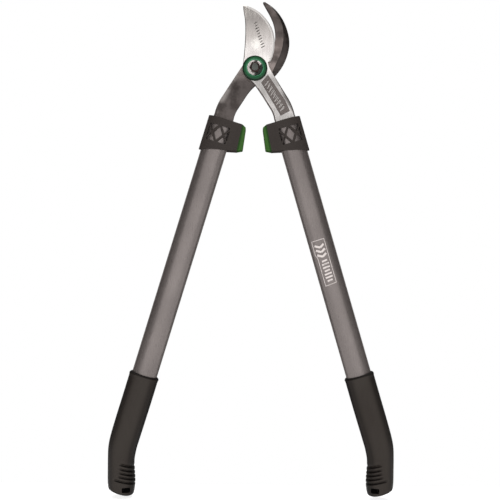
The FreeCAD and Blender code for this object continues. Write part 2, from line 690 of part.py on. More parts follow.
def make_grip(name, side):
    """Sleeve over the tube's lower end, which bends to the vertical below it."""
    body = new_body(name + "_grip")
    section = sketch_on(body, name + "_grip_section", "XY_Plane", "Size.grip_top_up")
    add_oval(section, "Size.grip_width", "Size.grip_depth")
    lean = math.radians(size("handle_lean"))
    top, bend, radius = size("grip_top_up"), size("grip_bend_up"), size("grip_bend_radius")
    tangent = radius * math.tan(lean / 2)
    turn_middle = (radius * (math.cos(lean / 2) - 1), bend + tangent - radius * math.sin(lean / 2))
    turn_end = (-tangent * math.sin(lean), bend - tangent * math.cos(lean))
    drop = (size("grip_end_level") - on_handle(0, bend)[1]) + tangent
    end = (turn_end[0] + drop * math.sin(lean), turn_end[1] + drop * math.cos(lean))
    route = [(0, top), (0, bend + tangent), turn_middle, turn_end, end]
    route = sided(route, side)
    path = front_sketch(body, name + "_grip_path",
                        lines(*route[:2]) + arc(*route[1:4]) + lines(*route[3:]))
    doc.recompute()
    sleeve = body.newObject("PartDesign::AdditivePipe", name + "_grip_sleeve")
    sleeve.Profile = section
    sleeve.Spine = (path, ["Edge1", "Edge2", "Edge3"])
    sleeve.Mode = "Frenet"
    doc.recompute()
    corners = sided([from_pivot(x, z) for x, z in GRIP_END_CUT], side)
    end_cut = lines(*corners[:2]) + arc(*corners[1:4]) + lines(*corners[3:], corners[0])
    pocket(body, name + "_end_cut", front_sketch(body, name + "_end_cut_outline", end_cut),
           "2 * Size.grip_depth", both_ways=True)
    bore = sketch_on(body, name + "_grip_bore_section", "XY_Plane", "Size.grip_top_up")
    add_oval(bore, "Size.tube_width + 2 * Size.running_gap", "Size.tube_depth + 2 * Size.running_gap")
    pocket(body, name + "_grip_bore", bore, "Size.grip_top_up - Size.tube_end_up")
    half_width, half_height = size("hang_slot_width") / 2, size("hang_slot_height") / 2
    x, z = HANG_SLOT_CENTRE
    straight = half_width - half_height
    slot = [(x - straight, z + half_height), (x + straight, z + half_height), (x + half_width, z),
            (x + straight, z - half_height), (x - straight, z - half_height), (x - half_width, z)]
    slot = sided([from_pivot(*corner) for corner in slot], side)
    outline = (lines(*slot[:2]) + arc(*slot[1:4]) + lines(*slot[3:5]) + arc(slot[4], slot[5], slot[0]))
    pocket(body, name + "_hang_slot", front_sketch(body, name + "_hang_slot_outline", outline),
           "2 * Size.grip_depth", both_ways=True)
    put_on_handle(body, side)


# ---------------------------------------------------------------- assembly

def make_handle(name, side, lever_back, lever_front):
    make_tube(name, side)
    make_insert(name, side, lever_back, lever_front)
    make_pins(name, side)
    make_end_plug(name, side)
    make_collar(name, side, lever_back, lever_front)
    make_bumper(name, side)
    make_grip(name, side)


def write_parts():
    doc.recompute()
    for item in doc.Objects:
        if "Invalid" in item.State or "Error" in item.State:
            raise RuntimeError(f"{item.Name} is {item.State}")
    os.makedirs("parts", exist_ok=True)
    for item in doc.Objects:
        if item.TypeId not in ("PartDesign::Body", "Part::Feature"):
            continue
        shape = item.Shape
        if shape.isNull() or not shape.isValid():
            raise RuntimeError(f"{item.Label} has no valid shape")
        shape.exportStep(f"parts/{item.Label}.step")
        box = shape.BoundBox
        print(f"{item.Label:22s} solids {len(shape.Solids)} volume {shape.Volume:10.1f}"
              f" x {box.XMin:7.1f} {box.XMax:7.1f} y {box.YMin:6.1f} {box.YMax:6.1f}"
              f" z {box.ZMin:7.1f} {box.ZMax:7.1f}")


make_blade_lever()
make_hook_lever()
make_pivot()
make_handle("right", 1, "Size.lever_gap / 2", BLADE_FRONT)
make_handle("left", -1, f"-{HOOK_BACK}", "-Size.lever_gap / 2")
write_parts()
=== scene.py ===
import json
import math

import bmesh
import bpy
from mathutils import Matrix, Vector


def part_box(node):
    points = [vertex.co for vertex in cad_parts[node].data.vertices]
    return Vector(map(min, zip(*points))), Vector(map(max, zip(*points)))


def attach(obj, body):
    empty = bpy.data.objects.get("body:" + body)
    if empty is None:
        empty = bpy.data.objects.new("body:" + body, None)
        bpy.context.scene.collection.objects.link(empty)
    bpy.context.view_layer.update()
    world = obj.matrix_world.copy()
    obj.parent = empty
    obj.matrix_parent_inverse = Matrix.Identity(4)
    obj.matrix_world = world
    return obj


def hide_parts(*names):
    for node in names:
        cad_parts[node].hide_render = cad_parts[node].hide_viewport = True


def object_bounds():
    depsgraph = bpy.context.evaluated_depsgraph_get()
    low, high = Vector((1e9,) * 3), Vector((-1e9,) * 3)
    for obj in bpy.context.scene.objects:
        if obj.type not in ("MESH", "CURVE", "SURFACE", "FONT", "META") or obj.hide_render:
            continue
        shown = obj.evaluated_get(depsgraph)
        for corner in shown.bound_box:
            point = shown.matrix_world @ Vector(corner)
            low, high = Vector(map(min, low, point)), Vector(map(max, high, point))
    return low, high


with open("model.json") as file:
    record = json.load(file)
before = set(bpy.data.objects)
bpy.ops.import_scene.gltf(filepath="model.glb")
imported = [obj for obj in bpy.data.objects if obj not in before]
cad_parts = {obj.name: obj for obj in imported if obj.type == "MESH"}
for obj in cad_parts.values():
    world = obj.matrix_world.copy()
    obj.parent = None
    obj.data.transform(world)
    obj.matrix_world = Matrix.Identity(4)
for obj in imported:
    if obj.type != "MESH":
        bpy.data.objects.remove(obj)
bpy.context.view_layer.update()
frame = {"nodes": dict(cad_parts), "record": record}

MM = 0.001
SIDES = {"right": 1, "left": -1}
BODY_OF_SIDE = {"right": "blade_side", "left": "hook_side"}

# Front-view layout of a handle, in millimetres (see on_handle).
HANDLE_LEAN = math.radians(16.6)
HANDLE_OFFSET = 22.1
TUBE_HALF_WIDTH, TUBE_HALF_DEPTH = 17.4, 10.8
TUBE_END = -535.5

# The sunk panel in the blade lever's shank: its upper end's middle, and its lean from the vertical.
PANEL_TOP = (13.5, -14.0)
PANEL_LEAN = math.radians(32)


def on_handle(out, up):
    """Front-view place (x, z) on the right side, from how far out from the tube's axis and how far up it."""
    return (HANDLE_OFFSET + out * math.cos(HANDLE_LEAN) - up * math.sin(HANDLE_LEAN),
            out * math.sin(HANDLE_LEAN) + up * math.cos(HANDLE_LEAN))


def smoothstep(low, high, value):
    share = min(max((value - low) / (high - low), 0.0), 1.0)
    return share * share * (3 - 2 * share)


def spline_value(points, at):
    """Smooth value at a place, through (place, value) points in falling order of place."""
    last = len(points) - 2
    index = next((i for i in range(last) if at >= points[i + 1][0]), last)
    (x1, y1), (x2, y2) = points[index], points[index + 1]
    x0, y0 = points[index - 1] if index > 0 else (2 * x1 - x2, 2 * y1 - y2)
    x3, y3 = points[index + 2] if index < last else (2 * x2 - x1, 2 * y2 - y1)
    slope1, slope2 = (y2 - y0) / (x2 - x0), (y3 - y1) / (x3 - x1)
    width = x2 - x1
    t = (at - x1) / width
    return ((2 * t ** 3 - 3 * t ** 2 + 1) * y1 + (t ** 3 - 2 * t ** 2 + t) * width * slope1
            + (3 * t ** 2 - 2 * t ** 3) * y2 + (t ** 3 - t ** 2) * width * slope2)


# ---------------------------------------------------------------- studio

def set_camera():
    """A long lens, level with the middle of the tubes and square to the front."""
    data = bpy.data.cameras.new("camera")
    data.lens = 50.4
    data.sensor_width = 36.0
    data.clip_start, data.clip_end = 0.01, 50.0
    camera = bpy.data.objects.new("camera", data)
    bpy.context.scene.collection.objects.link(camera)
    roll = Matrix.Rotation(math.radians(-0.57), 4, "Y")
    place = Matrix.Translation((-0.00425, -0.964, -0.2489))
    camera.matrix_world = place @ roll @ Matrix.Rotation(math.radians(90), 4, "X")
    bpy.context.scene.camera = camera


def softbox(name, place, target, size, power):
    """Rectangular light aimed at a point, not seen by the camera."""
    data = bpy.data.lights.new(name, "AREA")
    data.shape = "RECTANGLE"
    data.size, data.size_y = size
    data.energy = power
    light = bpy.data.objects.new(name, data)
    light.location = place
    aim = Vector(target) - Vector(place)
    light.rotation_euler = aim.to_track_quat("-Z", "Y").to_euler()
    light.visible_camera = False
    bpy.context.scene.collection.objects.link(light)


def set_lights():
    """A wide softbox in front, a smaller one high behind, and a broad light straight down."""
    softbox("front_softbox", (0, -1.6, -0.05), (0, 0, -0.05), (2.4, 1.23), 14.0)
    softbox("back_softbox", (0.0, 1.3, 1.6), (0, 0, -0.25), (1.4, 0.7), 11.0)
    data = bpy.data.lights.new("ceiling", "SUN")
    data.energy = 1.2
    data.angle = math.radians(60)
    ceiling = bpy.data.objects.new("ceiling", data)
    bpy.context.scene.collection.objects.link(ceiling)


def set_world():
    """Plain white behind the object. What it reflects is a room, grey in front and mostly dark behind."""
    world = bpy.data.worlds.new("studio")
    world.use_nodes = True
    bpy.context.scene.world = world
    nodes, links = world.node_tree.nodes, world.node_tree.links

    def ramp(value, low, high, to_low=0.0, to_high=1.0, interpolation="SMOOTHSTEP"):
        node = nodes.new("ShaderNodeMapRange")
        node.interpolation_type = interpolation
        for socket, number in zip(("From Min", "From Max", "To Min", "To Max"), (low, high, to_low, to_high)):
            node.inputs[socket].default_value = number
        links.new(value, node.inputs["Value"])
        return node.outputs["Result"]

    def math_node(operation, *values):
        node = nodes.new("ShaderNodeMath")
        node.operation = operation
        for socket, value in zip(node.inputs, values):
            links.new(value, socket)
        return node.outputs[0]

    direction = nodes.new("ShaderNodeTexCoord")
    parts = nodes.new("ShaderNodeSeparateXYZ")
    links.new(direction.outputs["Generated"], parts.inputs[0])
    front_to_back, sideways = parts.outputs["Y"], math_node("ABSOLUTE", parts.outputs["X"])
    strength = ramp(front_to_back, -0.35, 0.15, 0.18, 0.03, "LINEAR")
    # Two grey walls stand behind, well to the sides.
    walls = math_node("MULTIPLY", ramp(front_to_back, 0.30, 0.55, to_high=0.6), ramp(sideways, 0.42, 0.62))
    room = nodes["Background"]
    room.inputs["Color"].default_value = (1.0, 0.96, 0.92, 1)
    links.new(math_node("ADD", strength, walls), room.inputs["Strength"])
    backdrop = nodes.new("ShaderNodeBackground")
    backdrop.inputs["Color"].default_value = (1, 1, 1, 1)
    path = nodes.new("ShaderNodeLightPath")
    mix = nodes.new("ShaderNodeMixShader")
    links.new(path.outputs["Is Camera Ray"], mix.inputs["Fac"])
    links.new(room.outputs[0], mix.inputs[1])
    links.new(backdrop.outputs[0], mix.inputs[2])
    links.new(mix.outputs[0], nodes["World Output"].inputs["Surface"])


def make_floor():
    """Pale, faintly glowing floor just under the grips at rest. It ends a little way behind them."""
    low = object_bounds()[0].z
    left, right, front, back = -4.0, 4.0, -4.0, 0.05
    mesh = bpy.data.meshes.new("floor")
    corners = [(left, front, 0), (right, front, 0), (right, back, 0), (left, back, 0)]
    mesh.from_pydata(corners, [], [(0, 1, 2, 3)])
    floor = bpy.data.objects.new("floor", mesh)
    floor.location.z = low - 0.0005
    bpy.context.scene.collection.objects.link(floor)
    table = Shader("pale_floor", 0.9, Emission_Strength=0.75, Specular_IOR_Level=0.0)
    table.shader.inputs["Emission Color"].default_value = (1, 1, 1, 1)
    table.colour((0.9, 0.9, 0.9))
    mesh.materials.append(table.material)


# ---------------------------------------------------------------- materials

class Shader:
    """A node material: one principled shader, and short calls that add nodes in front of it."""

    def __init__(self, name, roughness=0.5, metallic=0.0, **fixed):
        self.material = bpy.data.materials.new(name)
        self.material.use_nodes = True
        self.nodes = self.material.node_tree.nodes
        self.links = self.material.node_tree.links
        self.shader = self.nodes["Principled BSDF"]
        self.shader.inputs["Roughness"].default_value = roughness
        self.shader.inputs["Metallic"].default_value = metallic
        for socket, value in fixed.items():
            self.shader.inputs[socket.replace("_", " ")].default_value = value
        self.object_place = None

    def feed(self, socket, value):
        if isinstance(value, bpy.types.NodeSocket):
            self.links.new(value, socket)
        else:
            socket.default_value = value

    def node(self, kind, inputs, **settings):
        node = self.nodes.new("ShaderNode" + kind)
        for key, value in settings.items():
            setattr(node, key, value)
        for key, value in inputs.items():
            self.feed(node.inputs[key], value)
        return node

    def place(self, stretch=(1, 1, 1), turn=0.0):
        """Place on the piece, turned about the pivot's direction and stretched."""
        if self.object_place is None:
            self.object_place = self.nodes.new("ShaderNodeTexCoord").outputs["Object"]
        mapping = {"Vector": self.object_place, "Rotation": (0, turn, 0), "Scale": stretch}
        return self.node("Mapping", mapping).outputs["Vector"]

    def axis(self, letter, **placing):
        """One coordinate, in metres, of the place on the piece."""
        return self.node("SeparateXYZ", {"Vector": self.place(**placing)}).outputs[letter]

    def away(self, stretch, point):
        """Distance of a stretched place from a point. A stretch of 0 leaves that axis out."""
        inputs = {0: self.place(stretch), 1: point}
        return self.node("VectorMath", inputs, operation="DISTANCE").outputs["Value"]

    def facing_front(self):
        """1 where the surface faces straight to the front or back, 0 where it faces sideways."""
        normal = self.nodes.new("ShaderNodeTexCoord").outputs["Normal"]
        return self.math("ABSOLUTE", self.node("SeparateXYZ", {"Vector": normal}).outputs["Y"])

    def wander(self, noise, width):
        """A noise turned into a shift of up to half this width, either way."""
        return self.math("MULTIPLY", self.math("SUBTRACT", noise, 0.5), width)

    def noise(self, scale, detail=3.0, roughness=0.55, **placing):
        inputs = {"Vector": self.place(**placing), "Scale": scale, "Detail": detail, "Roughness": roughness}
        return self.node("TexNoise", inputs).outputs["Fac"]

    def cells(self, scale):
        return self.node("TexVoronoi", {"Vector": self.place(), "Scale": scale}).outputs["Distance"]

    def range(self, value, low, high, to_low=0.0, to_high=1.0):
        inputs = {"Value": value, "From Min": low, "From Max": high, "To Min": to_low, "To Max": to_high}
        return self.node("MapRange", inputs, interpolation_type="SMOOTHSTEP").outputs["Result"]

    def math(self, operation, first, second=0.0):
        return self.node("Math", {0: first, 1: second}, operation=operation).outputs[0]

    def mix(self, share, first, second):
        inputs = {"Factor": share, 6: colour_value(first), 7: colour_value(second)}
        return self.node("Mix", inputs, data_type="RGBA").outputs[2]

    def edges(self, low, high):
        """How far a place stands out, from the mesh's pointiness: worn edges."""
        pointiness = self.nodes.new("ShaderNodeNewGeometry").outputs["Pointiness"]
        return self.range(pointiness, low, high)

    def colour(self, value):
        self.feed(self.shader.inputs["Base Color"], colour_value(value))

    def roughness(self, value):
        self.feed(self.shader.inputs["Roughness"], value)

    def bump(self, height, depth):
        """Relief of this depth in millimetres."""
        inputs = {"Height": height, "Distance": depth * MM, "Strength": 1.0}
        bump = self.node("Bump", inputs)
        self.links.new(bump.outputs["Normal"], self.shader.inputs["Normal"])


def colour_value(value):
    if isinstance(value, bpy.types.NodeSocket) or len(value) == 4:
        return value
    return (*value, 1.0)


def blade_steel():
    """Polished blade that turns to a satin, forged shank below the pivot. Up the blade, a darker band and a
    lighter tip are painted reflections, and a bright spot is a painted highlight. A dark band along the
    shank's outer edge is painted shade.
    """
    steel = Shader("polished_steel", metallic=1.0)
    height = steel.axis("Z")
    shank = steel.range(height, 0.004, -0.016)
    cloud = steel.noise(60, 4)
    streaks = steel.noise(55, 3, stretch=(1, 1, 0.3))
    grain = steel.noise(900, 2, stretch=(1, 1, 0.06), turn=0.45)
    # Painted reflection: a darker, tan band high up the blade.
    painted_dim_reflection = steel.mix(streaks, (0.46, 0.425, 0.405), (0.58, 0.545, 0.525))
    bright = steel.mix(steel.range(cloud, 0.35, 0.7), (0.54, 0.505, 0.495), (0.68, 0.65, 0.635))
    polished_with_painted_light = steel.mix(steel.range(height, 0.047, 0.021), painted_dim_reflection, bright)
    # Painted reflection: a lighter tip of the blade.
    polished_with_painted_light = steel.mix(steel.range(height, 0.066, 0.082), polished_with_painted_light, (0.80, 0.755, 0.72))
    # Painted highlight: a bright spot on the blade.
    from_painted_glint = steel.math("ADD", steel.away((1.1, 0, 1), (0.002, 0, 0.033)),
                           steel.wander(steel.noise(190, 2), 0.016))
    polished_with_painted_light = steel.mix(steel.range(from_painted_glint, 0.012, 0.003), polished_with_painted_light, (0.74, 0.71, 0.68))
    forged = steel.mix(steel.range(cloud, 0.35, 0.7), (0.36, 0.345, 0.335), (0.50, 0.48, 0.47))
    # Painted shade: a dark band along the shank's outer edge, low down.
    rim = steel.math("MULTIPLY", steel.range(steel.axis("X", turn=PANEL_LEAN), 0.0115, 0.0145),
                     steel.range(height, -0.026, -0.040))
    forged = steel.mix(rim, forged, (0.17, 0.16, 0.155))
    steel.colour(steel.mix(shank, polished_with_painted_light, forged))
    smooth = steel.range(grain, 0.3, 0.7, 0.14, 0.20)
    satin = steel.range(grain, 0.3, 0.7, 0.33, 0.44)
    steel.roughness(steel.node("Mix", {"Factor": shank, 2: smooth, 3: satin}).outputs[0])
    steel.bump(steel.math("ADD", grain, steel.math("MULTIPLY", cloud, shank)), 0.012)
    return steel.material


def panel_steel():
    """Rough sunk floor of the shank's panel."""
    steel = Shader("panel_steel", metallic=0.7)
    grit = steel.noise(1400, 3)
    steel.colour(steel.mix(steel.range(grit, 0.3, 0.7), (0.10, 0.085, 0.08), (0.22, 0.19, 0.18)))
    steel.roughness(steel.range(grit, 0.3, 0.7, 0.5, 0.7))
    steel.bump(grit, 0.06)
    return steel.material


def rib_steel():
    """Tops of the panel's raised bars."""
    steel = Shader("rib_steel", metallic=0.9)
    grit = steel.noise(700, 3)
    steel.colour(steel.mix(grit, (0.27, 0.25, 0.24), (0.42, 0.395, 0.38)))
    steel.roughness(steel.range(grit, 0.3, 0.7, 0.4, 0.55))
    steel.bump(grit, 0.02)
    return steel.material


def ground_steel():
    """Coarsely ground bevels along the cutting edge."""
    steel = Shader("ground_steel", metallic=0.3)
    lines = steel.noise(1500, 2, stretch=(1, 1, 0.3), turn=1.1)
    steel.colour(steel.mix(lines, (0.60, 0.57, 0.55), (0.86, 0.83, 0.81)))
    steel.roughness(steel.range(lines, 0.3, 0.7, 0.5, 0.65))
    steel.bump(lines, 0.01)
    return steel.material


def gunmetal(name, dark, light, roughness, zones):
    """Coated steel, mottled, with worn edges. Zones (height, share) scale the coat's colour up the piece as
    painted light and dark steps.
    """
    steel = Shader(name, metallic=0.85)
    cloud = steel.noise(45, 5, 0.6)
    grit = steel.noise(1100, 2)
    coat = steel.mix(steel.range(cloud, 0.38, 0.62), dark, light)
    height = steel.math("ADD", steel.axis("Z"), steel.math("MULTIPLY", cloud, 0.006))
    # The zones paint light and dark steps up the piece: painted reflections.
    share = zones[0][1]
    for (low, present), (high, following) in zip(zones, zones[1:]):
        share = steel.math("ADD", steel.range(height, low, high, 0.0, following - present), share)
    coat = steel.node("VectorMath", {0: coat, "Scale": share}, operation="SCALE").outputs["Vector"]
    worn = steel.math("MULTIPLY", steel.edges(0.53, 0.62), steel.range(cloud, 0.35, 0.6))
    steel.colour(steel.mix(worn, coat, (0.22, 0.20, 0.19)))
    steel.roughness(steel.range(steel.math("ADD", cloud, grit), 0.6, 1.4, roughness - 0.06, roughness + 0.1))
    steel.bump(steel.math("ADD", grit, cloud), 0.02)
    return steel.material


def plated_steel(name, colour, roughness):
    """Plating with a fine grain and a cloudy tint."""
    steel = Shader(name, metallic=1.0)
    cloud = steel.noise(160, 3)
    grain = steel.noise(2200, 2)
    tint = tuple(part * 0.82 for part in colour)
    steel.colour(steel.mix(steel.range(cloud, 0.35, 0.65), colour, tint))
    steel.roughness(steel.range(grain, 0.3, 0.7, roughness, roughness + 0.1))
    steel.bump(grain, 0.006)
    return steel.material


def gloss_green():
    """Moulded ring with fine scratches: a painted highlight makes its inner edge paler and painted shade
    darkens its rim.
    """
    plastic = Shader("green_trim", Specular_IOR_Level=0.2)
    cloud = plastic.noise(120, 3)
    scratch = plastic.noise(900, 2, stretch=(1, 1, 0.1), turn=0.9)
    body = plastic.mix(cloud, (0.004, 0.060, 0.018), (0.007, 0.090, 0.032))
    radius = plastic.math("ADD", plastic.away((1, 0, 1), (0, 0, 0)), plastic.wander(cloud, 0.002))
    # Painted highlight: paler near the inner edge.
    body = plastic.mix(plastic.range(radius, 0.0127, 0.0112), body, (0.085, 0.30, 0.16))
    # Painted shade: dark at the outer rim.
    body = plastic.mix(plastic.range(radius, 0.0140, 0.0160), body, (0.0015, 0.014, 0.005))
    plastic.colour(body)
    plastic.roughness(plastic.range(scratch, 0.3, 0.75, 0.3, 0.42))
    plastic.bump(scratch, 0.006)
    return plastic.material


def dish_steel():
    """Bright dished washer, with painted shade on its right side and a painted highlight spot within it."""
    steel = Shader("dish_steel", metallic=0.25)
    cloud = steel.noise(420, 3)
    across = steel.math("ADD", steel.axis("X"), steel.math("MULTIPLY", cloud, 0.004))
    # Painted shade: the right side of the washer is dark.
    painted_shade = steel.range(across, -0.001, 0.003)
    # Painted highlight: a bright spot kept inside the shaded side.
    from_painted_highlight = steel.away((1, 0, 1), (0.0058, 0, 0.0068))
    painted_shade = steel.math("MULTIPLY", painted_shade, steel.range(from_painted_highlight, 0.0024, 0.0042))
    washer_colour = steel.mix(cloud, (0.98, 0.93, 0.90), (0.80, 0.74, 0.71))
    steel.colour(steel.mix(painted_shade, washer_colour, (0.05, 0.06, 0.05)))
    steel.roughness(steel.range(cloud, 0.3, 0.7, 0.5, 0.62))
    steel.bump(cloud, 0.01)
    return steel.material


def tube_metal(turn):
    """Satin metallic grey, with faint lines along the tube."""
    paint = Shader("tube_metal", metallic=0.6)
    lines = paint.noise(1300, 2, stretch=(1, 1, 0.02), turn=turn)
    flakes = paint.noise(3500, 1)
    cloud = paint.noise(14, 3)
    body = paint.mix(paint.range(cloud, 0.3, 0.7), (0.130, 0.111, 0.106), (0.150, 0.129, 0.123))
    paint.colour(paint.mix(paint.range(flakes, 0.5, 0.72, 0, 0.35), body, (0.34, 0.32, 0.31)))
    paint.roughness(paint.range(lines, 0.3, 0.7, 0.27, 0.36))
    paint.bump(lines, 0.008)
    return paint.material


def moulded_plastic():
    """Dark collar plastic with a fine spark-eroded grain."""
    plastic = Shader("collar_plastic", Specular_IOR_Level=0.05)
    grain = plastic.noise(1500, 3)
    cloud = plastic.noise(40, 3)
    plastic.colour(plastic.mix(cloud, (0.036, 0.0300, 0.0275), (0.045, 0.038, 0.0345)))
    plastic.roughness(plastic.range(grain, 0.3, 0.7, 0.46, 0.6))
    plastic.bump(grain, 0.02)
    return plastic.material


def green_rubber():
    """Bumper rubber, with painted shade darkening it where it meets the collar."""
    rubber = Shader("green_rubber", Specular_IOR_Level=0.1)
    grain = rubber.noise(1200, 3)
    cloud = rubber.noise(70, 3)
    lean = 0.2117                    # how far outwards the bumper's face runs for each step down
    outwards = rubber.math("ADD", rubber.math("ABSOLUTE", rubber.axis("X")),
                           rubber.math("MULTIPLY", rubber.axis("Z"), lean))
    body = rubber.mix(cloud, (0.030, 0.086, 0.0155), (0.043, 0.115, 0.0235))
    # Painted shade: a dark band where the bumper meets the collar.
    rubber.colour(rubber.mix(rubber.range(outwards, -0.0032, -0.0018), body, (0.016, 0.050, 0.010)))
    rubber.roughness(rubber.range(grain, 0.3, 0.7, 0.55, 0.72))
    rubber.bump(grain, 0.03)
    return rubber.material


def grip_rubber():
    """Charcoal grip with a fine leathery grain, with a painted highlight where it faces front and back and
    painted shade where it faces sideways.
    """
    rubber = Shader("grip_rubber", Specular_IOR_Level=0.12)
    grain = rubber.cells(1100)
    fine = rubber.noise(2600, 2)
    streaks = rubber.noise(26, 4, stretch=(1, 1, 0.35))
    # Painted light by surface direction: lighter where the grip faces front or back, darker where it faces
    # sideways.
    facing = rubber.math("ADD", rubber.facing_front(), rubber.wander(streaks, 0.05))
    body = rubber.mix(rubber.range(facing, 0.50, 0.80), (0.0050, 0.0042, 0.0038), (0.0150, 0.0118, 0.0098))
    # Painted highlight: palest where the grip faces straight to the front or back.
    body = rubber.mix(rubber.range(facing, 0.84, 1.0), body, (0.0350, 0.0288, 0.0245))
    rubber.colour(rubber.mix(rubber.range(streaks, 0.45, 0.7, 0.0, 0.35), body, (0.0170, 0.0110, 0.0090)))
    rubber.roughness(rubber.range(streaks, 0.3, 0.7, 0.40, 0.48))
    rubber.bump(rubber.math("ADD", grain, fine), 0.02)
    return rubber.material


def nylon():
    """Dull black nylon of the friction washer, tang inserts and end plugs."""
    plastic = Shader("insert_nylon")
    grain = plastic.noise(700, 3)
    plastic.colour(plastic.mix(grain, (0.025, 0.025, 0.025), (0.05, 0.05, 0.05)))
    plastic.roughness(plastic.range(grain, 0.3, 0.7, 0.4, 0.55))
    plastic.bump(grain, 0.02)
    return plastic.material


def bronze():
    """Plain bearing bronze of the bush."""
    metal = Shader("bronze", metallic=1.0)
    grain = metal.noise(1500, 3)
    metal.colour(metal.mix(grain, (0.42, 0.25, 0.10), (0.56, 0.36, 0.16)))
    metal.roughness(metal.range(grain, 0.3, 0.7, 0.25, 0.4))
    metal.bump(grain, 0.01)
    return metal.material


# ---------------------------------------------------------------- pieces

def add_piece(name, form, body, materials, sharp_angle=35):
    """Object from a finished bmesh, riding on a body."""
    mesh = bpy.data.meshes.new(name)
    form.normal_update()
    form.to_mesh(mesh)
    form.free()
    for material in materials:
        mesh.materials.append(material)
    mesh.shade_smooth()
    mesh.set_sharp_from_angle(angle=math.radians(sharp_angle))
    piece = bpy.data.objects.new(name, mesh)
    bpy.context.scene.collection.objects.link(piece)
    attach(piece, body)
    return piece


# In degrees: faces that are this flat to each other are joined, and edges sharper than this are rounded.
FLAT_ANGLE, CREASE_ANGLE = 0.4, 28


def body_of(node):
    return next(b for b, nodes in frame["record"]["behaviour"]["bodies"].items() if node in nodes)


def slot_of(node):
    return next(p["material_slot"] for p in frame["record"]["subparts"] if p["node"] == node)


def softened(node, *roundings):
    """Copy of a CAD node as a bmesh. Each rounding is a radius in mm and a test of which edges get it."""
    form = bmesh.new()
    form.from_mesh(frame["nodes"][node].data)
    bmesh.ops.remove_doubles(form, verts=form.verts, dist=1e-6)
    bmesh.ops.dissolve_limit(form, angle_limit=math.radians(FLAT_ANGLE), verts=form.verts,
                             edges=form.edges, use_dissolve_boundaries=False)
    for radius, wanted in roundings:
        sharp = [edge for edge in form.edges if len(edge.link_faces) == 2
                 and edge.calc_face_angle() > math.radians(CREASE_ANGLE)
                 and wanted((edge.verts[0].co + edge.verts[1].co) / (2 * MM))]
        segments = 4 if radius > 1 else 2
        bmesh.ops.bevel(form, geom=sharp, offset=radius * MM, offset_type="OFFSET", segments=segments,
                        profile=0.5, affect="EDGES", clamp_overlap=radius < 1)
    return form


def replace_node(node, form, materials):
    """Finished piece that stands for a CAD node."""
    piece = add_piece(node + "_finished", form, body_of(node), materials)
    normals = piece.modifiers.new("even_normals", "WEIGHTED_NORMAL")
    normals.keep_sharp = True
    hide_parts(node)


# Grips. Places are front-view (x, z) in millimetres, on the right side.
GRIP_TOP = -440.0
GRIP_HALF_WIDTH, GRIP_HALF_DEPTH = 20.2, 14.0
GRIP_THINNING = 0.8                  # how much less deep each half is at the lower end
OUTER_EDGE = [on_handle(GRIP_HALF_WIDTH, GRIP_TOP), on_handle(GRIP_HALF_WIDTH, -478), (186.9, -481.8),
              (194.3, -508.5), (196.4, -521.0), (196.9, -535.0), (196.9, -553.0), (196.8, -567.0),
              (196.2, -575.5)]
INNER_EDGE = [on_handle(-GRIP_HALF_WIDTH, GRIP_TOP), on_handle(-GRIP_HALF_WIDTH, -478), (153.9, -511.2),
              (158.0, -525.0), (160.5, -539.5), (160.0, -553.0), (159.1, -566.0), (159.5, -575.0),
              (160.3, -581.5), (161.4, -585.5)]
RIM_DROP, END_DROP = 11.6, 8.8       # how much lower a ring's inner end lies than its outer end
# Rings that close the end: outer end, inner end, share of the full depth.
END_RINGS = [((195.6, -578.0), (161.5, -585.4), 0.97), ((192.8, -580.3), (163.0, -586.7), 0.90),
             ((188.2, -582.5), (165.2, -587.4), 0.78), ((183.8, -584.3), (167.6, -587.8), 0.60),
             ((179.8, -585.9), (170.4, -587.9), 0.38), ((177.0, -586.8), (173.0, -587.9), 0.16)]
GROOVES = [(-537.6, 92), (-543.9, 93), (-549.6, 95), (-555.2, 98), (-561.2, 116)]   # level, reach in degrees
GROOVE_DEPTH, GROOVE_HALF_WIDTH = 2.1, 1.9
GRIP_SLIDE = {"right": 2.4, "left": 0.2}      # how far each grip is pushed up its tube
SLOT_CENTRE, SLOT_SIZE, SLOT_CORNER = (169.9, -577.8), (10.9, 7.2), 1.8
SLOT_POINTS = 40
RING_POINTS = 72
BORE_GAP = 0.05


def ring_chord(level):
    """Outer and inner ends (x, z) of the grip's ring whose outer end is at this height."""
    top, bottom = OUTER_EDGE[0][1], OUTER_EDGE[-1][1]
    share = smoothstep(-500, bottom, level)
    inner_level = level - RIM_DROP - (END_DROP - RIM_DROP) * share
    outer = spline_value([(z, x) for x, z in OUTER_EDGE], level)
    inner = spline_value([(z, x) for x, z in INNER_EDGE], inner_level)
    return (outer, level), (inner, inner_level)


def grip_ring(level, side, grow=0.0):
    """Points of one ring, from its outer end over the front to the inner end and round the back."""
    outer, inner = ring_chord(level)
    deep = GRIP_HALF_DEPTH - GRIP_THINNING * smoothstep(-500, -560, level)
    return ring_points(outer, inner, deep, side, grow, level)


def ring_points(outer, inner, deep, side, grow=0.0, level=None):
    """A slightly squared oval between two ends. With a level, the finger grooves are cut into it."""
    middle = ((outer[0] + inner[0]) / 2, (outer[1] + inner[1]) / 2)
    half = ((outer[0] - inner[0]) / 2, (outer[1] - inner[1]) / 2)
    length = math.hypot(*half)
    points = []
    for index in range(RING_POINTS):
        angle = 2 * math.pi * index / RING_POINTS
        across = math.copysign(abs(math.cos(angle)) ** 0.9, math.cos(angle))
        forward = math.copysign(abs(math.sin(angle)) ** 0.9, math.sin(angle))
        cut = 0.0 if level is None else groove_depth(level, angle)
        reach = across * (length + grow - cut) / length
        points.append(Vector((side * (middle[0] + half[0] * reach), -(deep + grow - cut) * forward,
                              middle[1] + half[1] * reach)) * MM)
    return points


